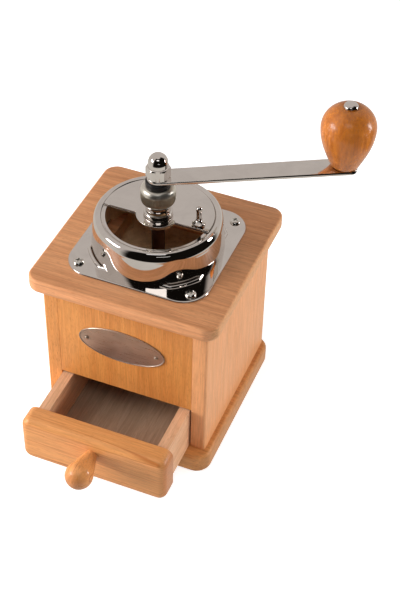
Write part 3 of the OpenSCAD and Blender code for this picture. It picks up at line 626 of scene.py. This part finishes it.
def join_meshes(name, meshes):
    """Joins meshes into one."""
    joined = bmesh.new()
    for mesh in meshes:
        joined.from_mesh(mesh)
    result = bpy.data.meshes.new(name)
    joined.to_mesh(result)
    joined.free()
    return result


def apply_modifier(name, mesh, kind, **settings):
    """Bakes a modifier into a mesh."""
    holder = add_object(name + "_working", mesh)
    modifier = holder.modifiers.new(kind.lower(), kind)
    for key, value in settings.items():
        setattr(modifier, key, value)
    bpy.context.view_layer.update()
    result = bpy.data.meshes.new_from_object(holder.evaluated_get(bpy.context.evaluated_depsgraph_get()))
    bpy.data.objects.remove(holder)
    result.name = name
    return result


def bevelled(name, mesh, width, segments):
    """Rounds a mesh's sharp edges."""
    return apply_modifier(name, mesh, "BEVEL", width=width, segments=segments, limit_method="ANGLE",
                          angle_limit=math.radians(50))


def without(name, mesh, cutter):
    """Cuts one mesh out of another."""
    tool = add_object(name + "_cutter", cutter)
    result = apply_modifier(name, mesh, "BOOLEAN", object=tool, operation="DIFFERENCE", solver="EXACT")
    bpy.data.objects.remove(tool)
    return result


# -------- wooden box

TOP_CORNER_R = 9 * MM
BASE_CORNER_R = 10 * MM
HOPPER_HOLE_R = 37.9 * MM
EASED_R = 1.6 * MM
CRISP_R = 0.2 * MM
PANEL_R = 0.25 * MM
SAWN_R = 0.05 * MM


def add_board(name, node, material, slot, corner_r, low_r, high_r, turn=0.0, **shape):
    """Board in place of a CAD board, from its own box."""
    lengths, centre = size(node), middle(node)
    mesh = soft_board(name, lengths.x, lengths.y, lengths.z, corner_r, low_r, high_r, **shape)
    moved(mesh, centre.x, centre.y, low(node).z, about_z(turn))
    finish_piece(name, mesh, material, "housing", [node])


def build_box():
    """Base, top plate and walls; the side walls' outer edges are eased and their inner ones crisp."""
    centre = middle("top_plate")
    add_board("base_board", "base_plate", "base", "beech_plates", BASE_CORNER_R, 2.6 * MM, 2.6 * MM)
    add_board("top_board", "top_plate", "top", "beech_plates", TOP_CORNER_R, 2.4 * MM, 1.6 * MM,
              hole_r=HOPPER_HOLE_R, hole_at=(-centre.x, -centre.y))
    for side, node, outer_r, inner_r, turn in (("left", "left_side_board", EASED_R, CRISP_R, math.pi),
                                               ("right", "right_side_board", EASED_R, CRISP_R, 0),
                                               ("front", "front_panel", PANEL_R, PANEL_R, 0),
                                               ("back", "back_panel", PANEL_R, PANEL_R, 0)):
        add_board(side + "_board", node, side, "beech_box", outer_r, SAWN_R, SAWN_R, turn, other_r=inner_r)


# -------- drawer


def build_drawer_front():
    """Thick board with well rounded front edges."""
    lengths, centre = size("drawer_front"), middle("drawer_front")
    mesh = soft_board("drawer_board", lengths.x, lengths.z, lengths.y, 6 * MM, 1.2 * MM, 4.2 * MM)
    moved(mesh, centre.x, high("drawer_front").y, centre.z, FORWARD)
    finish_piece("drawer_board", mesh, "drawer_front", "drawer", ["drawer_front"])


def build_drawer_knob():
    """Turned knob that swells from a thin neck to a ball."""
    ball_r = high("drawer_knob").x
    neck_r = 3.9 * MM
    profile = [(0, 0), (neck_r, 0), (neck_r, 1 * MM)]
    profile += arc(0, size("drawer_knob").y - ball_r, ball_r, -22, 90, 28)
    mesh = lathe("turned_knob", profile, segments=96)
    moved(mesh, 0, high("drawer_knob").y, middle("drawer_knob").z, FORWARD)
    finish_piece("turned_knob", mesh, "knob", "drawer", ["drawer_knob"])


# -------- nameplate


def build_nameplate():
    """Bare oval plate with a thin raised rim."""
    lengths, centre = size("nameplate"), middle("nameplate")
    rim = lengths.y
    floor = rim - 0.25 * MM
    rings = []
    for inset, height in ((0, 0), (0, rim - 0.2 * MM), (0.2 * MM, rim), (0.6 * MM, rim), (0.9 * MM, floor),
                          (4 * MM, floor), (9 * MM, floor + 0.05 * MM)):
        oval = arc(0, 0, lengths.x / 2 - inset, 0, 356.25, 95, lengths.z / 2 - inset)
        rings.append([(x, z, height) for x, z in oval])
    mesh = rings_mesh("oval_plate", rings)
    moved(mesh, centre.x, high("nameplate").y, centre.z, FORWARD)
    finish_piece("oval_plate", mesh, "plate", "housing", ["nameplate"])


def build_nameplate_pins():
    """Two domed pins, one near each end of the nameplate."""
    head_r, head_h = 1.3 * MM, 0.9 * MM
    stem_r, stem_l = 0.8 * MM, 4 * MM
    centre = middle("nameplate_pins")
    reach = size("nameplate_pins").x / 2 - head_r
    pins = []
    for side in (-1, 1):
        profile = [(0, -stem_l), (stem_r, -stem_l), (stem_r, 0), (head_r, 0)]
        pin = lathe("pin", profile + arc(0, 0, head_r, 15, 90, 5, head_h), segments=32)
        pins.append(moved(pin, centre.x + side * reach, low("nameplate").y, centre.z, FORWARD))
    finish_piece("plate_pins", join_meshes("plate_pins", pins), "pin", "housing", ["nameplate_pins"])


# -------- hopper

PLATE_T = 1.2 * MM
PLATE_CORNER_R = 17 * MM
DRUM_FOOT_R = high("hopper_drum").x
COVER_TOP = high("rotating_cover").z


def build_mounting_plate():
    """Square plate with round corners, a soft edge and a pressed collar round the drum's foot."""
    width = size("mounting_plate").x
    hole_r = DRUM_FOOT_R + 0.1 * MM
    crown_r = 1.05 * MM
    crown = high("mounting_plate").z - DECK_Z
    edge = [(0, PLATE_T)] + [(inset * MM, drop * MM) for inset, drop in (
        (0, 0.7), (0.08, 0.4), (0.3, 0.14), (0.62, 0.03), (0.95, 0), (1.3, 0))]
    rings = []
    for inset, drop in edge:
        outline = rounded_outline(width - 2 * inset, width - 2 * inset, PLATE_CORNER_R - inset, 16)
        rings.append([(x, y, PLATE_T - drop) for x, y in outline])
    angles = [math.atan2(y, x) for x, y, _ in rings[0]]
    collar = [(hole_r + out * MM, PLATE_T + rise * MM) for out, rise in ((3.3, 0), (2.9, 0), (2.5, 0.12))]
    collar += arc(hole_r + 1.3 * MM, crown - crown_r, crown_r, 0, 180, 12)
    collar += [(hole_r + 0.25 * MM, 0)]
    for radius, height in collar:
        rings.append([(radius * math.cos(a), radius * math.sin(a), height) for a in angles])
    mesh = moved(rings_mesh("drum_plate", rings, closed=True), z=DECK_Z)
    finish_piece("drum_plate", mesh, "nickel", "housing", ["mounting_plate"], 30)


def build_drum():
    """Drum of thin sheet: upright foot, leaning wall, rolled bead and a groove for the covers."""
    top = high("hopper_drum").z
    foot_h = 2.6 * MM
    lean = 0.086
    sheet = 0.9 * MM
    bead_w, bead_h = 3.0 * MM, 6.5 * MM
    lip_w, lip_h = 2.25 * MM, 1.5 * MM
    ring_r = 39.6 * MM - bead_w
    groove_r = 33.76 * MM
    wall = [(DRUM_FOOT_R - sheet, DECK_Z), (DRUM_FOOT_R, DECK_Z), (DRUM_FOOT_R, DECK_Z + foot_h)]
    wall += [(DRUM_FOOT_R - lean * rise * MM, DECK_Z + foot_h + rise * MM) for rise in (1, 4, 8, 12, 14.6)]
    wall += arc(ring_r, top - bead_h, bead_w, 2.25, 90, 39, bead_h)
    wall += arc(ring_r, top - lip_h, lip_w, 97.5, 180, 11, lip_h)
    wall += [(groove_r, top - lip_h - 0.05 * MM), (groove_r, low("fixed_cover").z)]
    wall += [(ring_r - lip_w + sheet, top - bead_h + 1 * MM), (DRUM_FOOT_R - 2.5 * MM, DECK_Z + 16 * MM)]
    wall += [(DRUM_FOOT_R - 2.4 * MM, DECK_Z + 11 * MM), (DRUM_FOOT_R - sheet, DECK_Z + foot_h)]
    mesh = lathe("rolled_drum", wall, segments=256, closed=True)
    finish_piece("rolled_drum", mesh, "nickel", "housing", ["hopper_drum"], 40)


def half_disc(name, radius, front_y, eye_r, bore_r, thickness):
    """Half cover with an eye about its middle, as a flat mesh with a thickness."""
    start = math.degrees(math.asin(front_y / radius))
    eye = math.degrees(math.asin(-front_y / eye_r))
    outline = arc(0, 0, radius, start, 180 - start, 128) + arc(0, 0, eye_r, 180 + eye, 360 - eye, 48)
    bore = lathe(name + "_bore", [(0, -thickness), (bore_r, -thickness), (bore_r, 2 * thickness),
                                  (0, 2 * thickness)], segments=96)
    return without(name, extruded(name, outline, thickness), bore)


def build_turning_cover():
    """Turning half cover; the fixed cover keeps its own shape."""
    mesh = half_disc("half_cover", high("rotating_cover").y, -4.2 * MM, 13.6 * MM, 8.2 * MM,
                     size("rotating_cover").z)
    mesh = moved(bevelled("half_cover", mesh, 0.25 * MM, 3), z=low("rotating_cover").z)
    finish_piece("half_cover", mesh, "nickel", "cover", ["rotating_cover"])


def build_cover_knob():
    """Turned pull of the half cover: a ringed foot, a thin stem and a round tip."""
    tip_r = 1.9 * MM
    profile = [(radius * MM, height * MM) for radius, height in (
        (0, 0), (2.1, 0), (2.3, 0.3), (2.6, 0.6), (3.6, 0.9), (4.1, 1.25), (4.2, 1.6), (4.1, 2.0),
        (3.6, 2.3), (2.6, 2.7), (2.0, 3.2), (1.7, 4), (1.6, 6), (1.7, 8.5), (1.85, 10.5))]
    profile += arc(0, high("cover_knob").z - COVER_TOP - tip_r, tip_r, -5, 90, 10)
    knob = moved(lathe("cover_pull", profile, middle("cover_knob").to_2d(), 64), z=COVER_TOP)
    finish_piece("cover_pull", knob, "nickel", "cover", ["cover_knob"])


def screw_head(name, radius, rise):
    """Round head with a cross recess."""
    rim = 0.25 * MM
    profile = [(0, -0.2 * MM), (radius, -0.2 * MM), (radius, rim)]
    head = lathe(name, profile + arc(0, rim, radius, 10, 90, 8, rise - rim), segments=48)
    for turn in (0, 90):
        bar = bmesh.new()
        bmesh.ops.create_cube(bar, size=1)
        for vertex in bar.verts:
            above = vertex.co.z > 0
            wide = 1.0 if above else 0.45
            length, width = radius * 1.25 * wide, 0.95 * MM * (0.6 + 0.4 * wide)
            vertex.co = Vector((vertex.co.x * length, vertex.co.y * width,
                                rise + (0.5 * MM if above else -1.5 * MM)))
        mesh = bpy.data.meshes.new(name + "_bar")
        bar.to_mesh(mesh)
        bar.free()
        head = without(name, head, moved(mesh, turn=about_z(math.radians(turn))))
    return head


def build_plate_screws():
    """Four cross-recessed screws, each turned its own way."""
    head_r, head_h = 3.4 * MM, 2.2 * MM
    reach = high("plate_screws").x - head_r
    heads = []
    for sx, sy, turn in ((-1, -1, 12), (-1, 1, 68), (1, -1, 35), (1, 1, 80)):
        head = screw_head("plate_screw", head_r, head_h)
        heads.append(moved(head, sx * reach, sy * reach, DECK_Z + PLATE_T, about_z(math.radians(turn))))
    finish_piece("plate_screw_heads", join_meshes("plate_screw_heads", heads), "screw", "housing",
                 ["plate_screws"])


# -------- bush, nut and crank

SHAFT_BORE_R = 4.15 * MM


def build_bush():
    """Turned bush with a collar at its foot and a thin neck."""
    top = high("bearing_bush").z - 0.03 * MM
    flange_r, body_r = 10.5 * MM, 8.1 * MM
    round_r = 0.4 * MM
    foot, seat = low("bearing_bush").z, low("fixed_cover").z
    profile = [(SHAFT_BORE_R, foot), (flange_r, foot), (flange_r, seat), (body_r, seat)]
    profile += [(body_r, COVER_TOP + 0.2 * MM), (8.5 * MM, COVER_TOP + 0.25 * MM)]
    profile += arc(8.45 * MM, COVER_TOP + 0.65 * MM, round_r, -60, 0, 4)
    profile += arc(8.45 * MM, COVER_TOP + 3.0 * MM, round_r, 0, 80, 5)
    profile += [(radius * MM, COVER_TOP + rise * MM)
                for radius, rise in ((7.9, 3.8), (7.7, 4.8), (7.75, 5.8), (8.05, 6.6))]
    profile += [(body_r, top - 0.4 * MM), (7.8 * MM, top), (SHAFT_BORE_R, top)]
    mesh = lathe("turned_bush", profile, closed=True)
    finish_piece("turned_bush", mesh, "nickel", "housing", ["bearing_bush"], 38)


def build_adjusting_nut():
    """Round nut: fine straight knurl below, polished shoulder above."""
    foot, height = low("adjusting_nut").z, size("adjusting_nut").z
    radius = high("adjusting_nut").x
    foot_r = radius - 2.4 * MM
    ring_r = high("lock_ring").x
    waist = height * 0.3
    shoulder = height * 0.69
    knurls = 84
    lower = [(SHAFT_BORE_R, 0), (foot_r, 0)] + arc(foot_r, waist, radius - foot_r, -80, 0, 8, waist)
    lower += [(radius, waist + (shoulder - waist) * k / 4) for k in range(1, 5)]
    lower += [(SHAFT_BORE_R, shoulder)]

    def ribbed(r, z, angle):
        """Radius with the knurl's ribs, which end short of the foot and the shoulder."""
        depth = 0.3 * MM if r > foot_r + 0.6 * MM and z < shoulder - 0.2 * MM else 0.0
        return r - depth * (0.5 + 0.5 * math.cos(knurls * angle))

    knurled = lathe("knurled_grip", lower, segments=knurls * 6, closed=True, radius_at=ribbed)
    moved(knurled, z=foot)
    finish_piece("knurled_grip", knurled, "knurled", "adjuster", ["adjusting_nut"], 60)
    upper = [(SHAFT_BORE_R, shoulder), (radius - 0.15 * MM, shoulder), (radius, shoulder + 0.1 * MM)]
    upper += arc(ring_r, shoulder, radius - ring_r, 6, 90, 14, height - shoulder) + [(SHAFT_BORE_R, height)]
    polished = moved(lathe("nut_shoulder", upper, closed=True), z=foot)
    finish_piece("nut_shoulder", polished, "satin", "adjuster", [], 40)


def build_lock_ring():
    """Black elastic ring with rounded edges."""
    foot, top = low("lock_ring").z, high("lock_ring").z
    bore_r, soft_r = 4.4 * MM, 0.7 * MM
    inner_r = high("lock_ring").x - soft_r
    profile = [(bore_r, foot)] + arc(inner_r, foot + soft_r, soft_r, -90, 0, 6)
    profile += arc(inner_r, top - soft_r, soft_r, 0, 90, 6) + [(bore_r, top)]
    mesh = lathe("elastic_ring", profile, segments=96, closed=True)
    finish_piece("elastic_ring", mesh, "rubber", "spindle", ["lock_ring"])


def build_crank_arm():
    """Flat bar with a round hub end and a rounded handle end."""
    hub_r = 6.8 * MM
    corner_r = 5 * MM
    end_x = HANDLE_AXIS.length + 7.4 * MM
    end_w = 14.6 * MM
    corner_x, corner_y = end_x - corner_r, end_w / 2 - corner_r
    outline = arc(corner_x, -corner_y, corner_r, -90, 0, 8) + arc(corner_x, corner_y, corner_r, 0, 90, 8)
    outline += arc(0, 0, hub_r, 92, 268, 24)
    mesh = bevelled("crank_bar", extruded("crank_bar", outline, size("crank_arm").z), 0.4 * MM, 4)
    moved(mesh, z=low("crank_arm").z, turn=about_z(CRANK_ANGLE))
    finish_piece("crank_bar", mesh, "nickel", "spindle", ["crank_arm"])


def build_cap_nut():
    """Hexagon with chamfered ends and a polished dome."""
    height = size("cap_nut").z
    flat_r = 13 * MM / 2
    corner_r = flat_r / math.cos(math.radians(30))
    hex_h = 7.6 * MM
    dome_r = 6 * MM
    chamfer = (corner_r - flat_r) * 0.6
    tightened = math.radians(21)

    def hexagon(radius, _, angle):
        """Radius cut back to the nearest of the six flats."""
        return min(radius, flat_r / math.cos(angle % math.radians(60) - math.radians(30)))

    profile = [(0, 0), (flat_r, 0), (corner_r, chamfer), (corner_r, hex_h - chamfer),
               (flat_r + 0.1 * MM, hex_h), (dome_r + 0.02 * MM, hex_h + 0.3 * MM)]
    body = moved(lathe("cap_hexagon", profile, segments=144, radius_at=hexagon), turn=about_z(tightened))
    cap = lathe("cap_dome", [(dome_r, hex_h)] + arc(0, height - dome_r, dome_r, 0, 90, 24), segments=96)
    mesh = moved(join_meshes("domed_nut", [body, cap]), z=low("cap_nut").z)
    finish_piece("domed_nut", mesh, "nickel", "spindle", ["cap_nut"], 9)


def build_handle():
    """Pear-shaped handle with a bore for its rivet."""
    height = size("wooden_handle").z
    radius = size("wooden_handle").x / 2
    bore_r = 2.75 * MM
    widest = 0.66
    crown = 0.36
    steps = 60

    def swell(t):
        """Radius at a share of the height: a slow swell up to the widest place, then a round top."""
        if t < widest:
            return radius * (0.5 + 0.5 * math.sin(math.pi / 2 * (t / widest) ** 1.02))
        return radius * math.sqrt(1 - ((t - widest) / crown) ** 2 * 0.98)

    profile = [(bore_r, 0), (radius * 0.45, 0)]
    profile += [(swell(k / steps), k / steps * height) for k in range(2, steps)]
    profile += [(5 * MM, height), (bore_r, height - 0.2 * MM)]
    wood = moved(lathe("pear_handle", profile, HANDLE_AXIS, closed=True), z=low("wooden_handle").z)
    finish_piece("pear_handle", wood, "handle", "handle", ["wooden_handle"], 40)


def build_rivet():
    """Rivet through the handle, with a domed head on top and a flat one under the arm."""
    head_r, dome_h = 4.4 * MM, 2.6 * MM
    stem_r = 2.6 * MM
    bottom, arm_low = low("handle_rivet").z, low("crank_arm").z
    rim_z = high("handle_rivet").z - 3 * MM
    dome_z = rim_z + 0.4 * MM
    profile = [(0, bottom), (stem_r, bottom), (4 * MM, bottom + 0.6 * MM), (4.2 * MM, arm_low)]
    profile += [(stem_r, arm_low), (stem_r, rim_z), (head_r, rim_z), (head_r, dome_z)]
    mesh = lathe("domed_rivet", profile + arc(0, dome_z, head_r, 6, 90, 14, dome_h), HANDLE_AXIS, 64)
    finish_piece("domed_rivet", mesh, "nickel", "spindle", ["handle_rivet"], 40)


def dress_inner_nodes():
    """Materials of the CAD nodes that keep their own shape."""
    finishes = {
        "nickel": ("fixed_cover", "handle_washer"),
        "screw": ("base_screws", "bridge_screws", "knob_screw"),
        "bowl": ("hopper_bowl",),
        "burr": ("inner_burr", "outer_burr", "burr_nut"),
        "shaft": ("drive_shaft", "bearing_bridge"),
        "bronze": ("thrust_washer",),
        "drawer_side": ("drawer_left_side", "drawer_right_side", "drawer_back"),
        "drawer_bottom": ("drawer_bottom",),
    }
    for material, nodes in finishes.items():
        for node in nodes:
            NODES[node].data.materials.clear()
            NODES[node].data.materials.append(MATERIALS[material])


# -------- studio

FLOOR_REACH = 6.0
FLOOR_GLOW = 0.72
FLOOR_MIRRORED = (0.62, 0.59, 0.54, 1)
FLOOR_LIT_R = 0.285
FLOOR_DARK_R = 0.3
ROOM_LIGHT = 0.19
ROOM_GREY = (0.56, 0.52, 0.49, 1)
ROOM_DARK = (0.006, 0.005, 0.004, 1)
DARK_AZIMUTH = 318
DRUM_SPOT = Vector((0, 0, 0.15))
DRAWER_SPOT = Vector((0, -0.12, 0.04))
BOX_SPOT = Vector((0.05, 0, 0.07))
# Name, spot it faces, azimuth and elevation in degrees, distance, width, height, watts, mirrored in metal
SOFT_LIGHTS = (
    ("left_key", DRAWER_SPOT, 200, 7, 1.1, 0.5, 0.34, 14.0, False),
    ("right_fill", BOX_SPOT, 6, 4, 1.1, 0.4, 0.15, 6.0, False),
    ("top_fill", DRUM_SPOT, 196, 52, 1.2, 0.8, 0.6, 4.8, False),
    ("front_fill", DRUM_SPOT, 285, 58, 1.1, 0.6, 0.4, 1.2, False),
    ("left_window", DRUM_SPOT, 213, 21, 1.0, 0.46, 0.25, 3.5, True),
    ("right_window", DRUM_SPOT, 25, 10, 1.0, 0.16, 0.34, 2.0, True),
    ("top_window", DRUM_SPOT, 289, 53, 1.1, 0.48, 0.2, 0.48, True),
    ("front_strip", DRUM_SPOT, 301, 12.5, 1.0, 0.37, 0.05, 0.07, True),
)


def toward(azimuth, elevation):
    """Unit vector from two angles in degrees; azimuth 0 is to the right, 90 to the back."""
    a, e = math.radians(azimuth), math.radians(elevation)
    return Vector((math.cos(a) * math.cos(e), math.sin(a) * math.cos(e), math.sin(e)))


def add_softbox(name, target, azimuth, elevation, distance, width, height, power, mirrored):
    """Rectangular soft light that faces a spot from a direction."""
    data = bpy.data.lights.new(name, "AREA")
    data.shape = "RECTANGLE"
    data.size = width
    data.size_y = height
    data.energy = power
    lamp = add_object(name, data)
    lamp.visible_glossy = mirrored
    lamp.visible_camera = False
    lamp.location = target + toward(azimuth, elevation) * distance
    lamp.rotation_euler = (target - lamp.location).to_track_quat("-Z", "Y").to_euler()


def dark_side(tree, vector, near, far):
    """Mask of the unlit side of the room, to the front right, by the level direction of a vector."""
    level = vector_maths(tree, "NORMALIZE", vector_maths(tree, "MULTIPLY", vector, (1, 1, 0)))
    facing = vector_maths(tree, "DOT_PRODUCT", level, toward(DARK_AZIMUTH, 0))
    return remap(tree, facing, near, far, smooth=True)


def glowing(tree, kind, colour, strength=1.0):
    """Adds an Emission or Background shader."""
    node = add_node(tree, kind)
    feed(tree, colour, node.inputs["Color"])
    node.inputs["Strength"].default_value = strength
    return node.outputs[0]


def light_path(tree):
    """Masks of the rays that see a thing straight or through glass, and of those that mirror it."""
    path = add_node(tree, "LightPath").outputs
    return maths(tree, "MAXIMUM", path["Is Camera Ray"], path["Is Transmission Ray"]), path["Is Glossy Ray"]


def build_floor():
    """Wide pale floor that shows white and keeps the object's shadow; mirrored, it ends in the dark."""
    material = bpy.data.materials.new("pale_floor")
    tree, surface = empty_tree(material, "OutputMaterial")
    spot = add_node(tree, "TexCoord").outputs["Object"]
    grain = remap(tree, noise(tree, spot, 40, 3, 0.5), 0.3, 0.7)
    diffuse = add_node(tree, "BsdfDiffuse")
    link(tree, mix_colours(tree, grain, (0.78, 0.78, 0.78, 1), (0.8, 0.8, 0.8, 1)), diffuse.inputs["Color"])
    matt = diffuse.outputs[0]
    shown = add_node(tree, "AddShader")
    link(tree, matt, shown.inputs[0])
    link(tree, glowing(tree, "Emission", WHITE, FLOOR_GLOW), shown.inputs[1])
    edge = vector_maths(tree, "DISTANCE", spot, (0, 0, 0))
    edge = remap(tree, edge, FLOOR_LIT_R, FLOOR_DARK_R, smooth=True)
    dark = maths(tree, "MULTIPLY", dark_side(tree, spot, 0.0, 0.3), edge)
    mirrored = glowing(tree, "Emission", mix_colours(tree, dark, FLOOR_MIRRORED, ROOM_DARK))
    seen, glossy = light_path(tree)
    lit = mix_shaders(tree, seen, matt, shown.outputs[0])
    link(tree, mix_shaders(tree, glossy, lit, mirrored), surface)
    mesh = bpy.data.meshes.new("studio_floor")
    corners = [(sx * FLOOR_REACH, sy * FLOOR_REACH, 0) for sx, sy in ((-1, -1), (1, -1), (1, 1), (-1, 1))]
    mesh.from_pydata(corners, [], [(0, 1, 2, 3)])
    mesh.materials.append(material)
    floor = add_object("studio_floor", mesh)


def build_world():
    """Even soft light from all round; metal mirrors a grey room that is dark to the front right."""
    world = bpy.data.worlds.new("studio_room")
    bpy.context.scene.world = world
    tree, surface = empty_tree(world, "OutputWorld")
    towards = add_node(tree, "TexCoord").outputs["Generated"]
    below_top = remap(tree, parts_of(tree, towards)["Z"], 0.95, 0.91, smooth=True)
    dark = maths(tree, "MULTIPLY", dark_side(tree, towards, 0.05, 0.32), below_top)
    soft = glowing(tree, "Background", WHITE, ROOM_LIGHT)
    white = glowing(tree, "Background", WHITE)
    mirror = glowing(tree, "Background", mix_colours(tree, dark, ROOM_GREY, ROOM_DARK))
    seen, glossy = light_path(tree)
    link(tree, mix_shaders(tree, seen, mix_shaders(tree, glossy, soft, mirror), white), surface)


def build_studio():
    """Floor, room and soft lights."""
    build_floor()
    build_world()
    for light in SOFT_LIGHTS:
        add_softbox(*light)


# -------- everything

bpy.context.scene.view_settings.view_transform = "Standard"
add_camera()
build_box()
build_drawer_front()
build_drawer_knob()
build_nameplate()
build_nameplate_pins()
build_mounting_plate()
build_drum()
build_turning_cover()
build_cover_knob()
build_plate_screws()
build_bush()
build_adjusting_nut()
build_lock_ring()
build_crank_arm()
build_cap_nut()
build_handle()
build_rivet()
dress_inner_nodes()
build_studio()
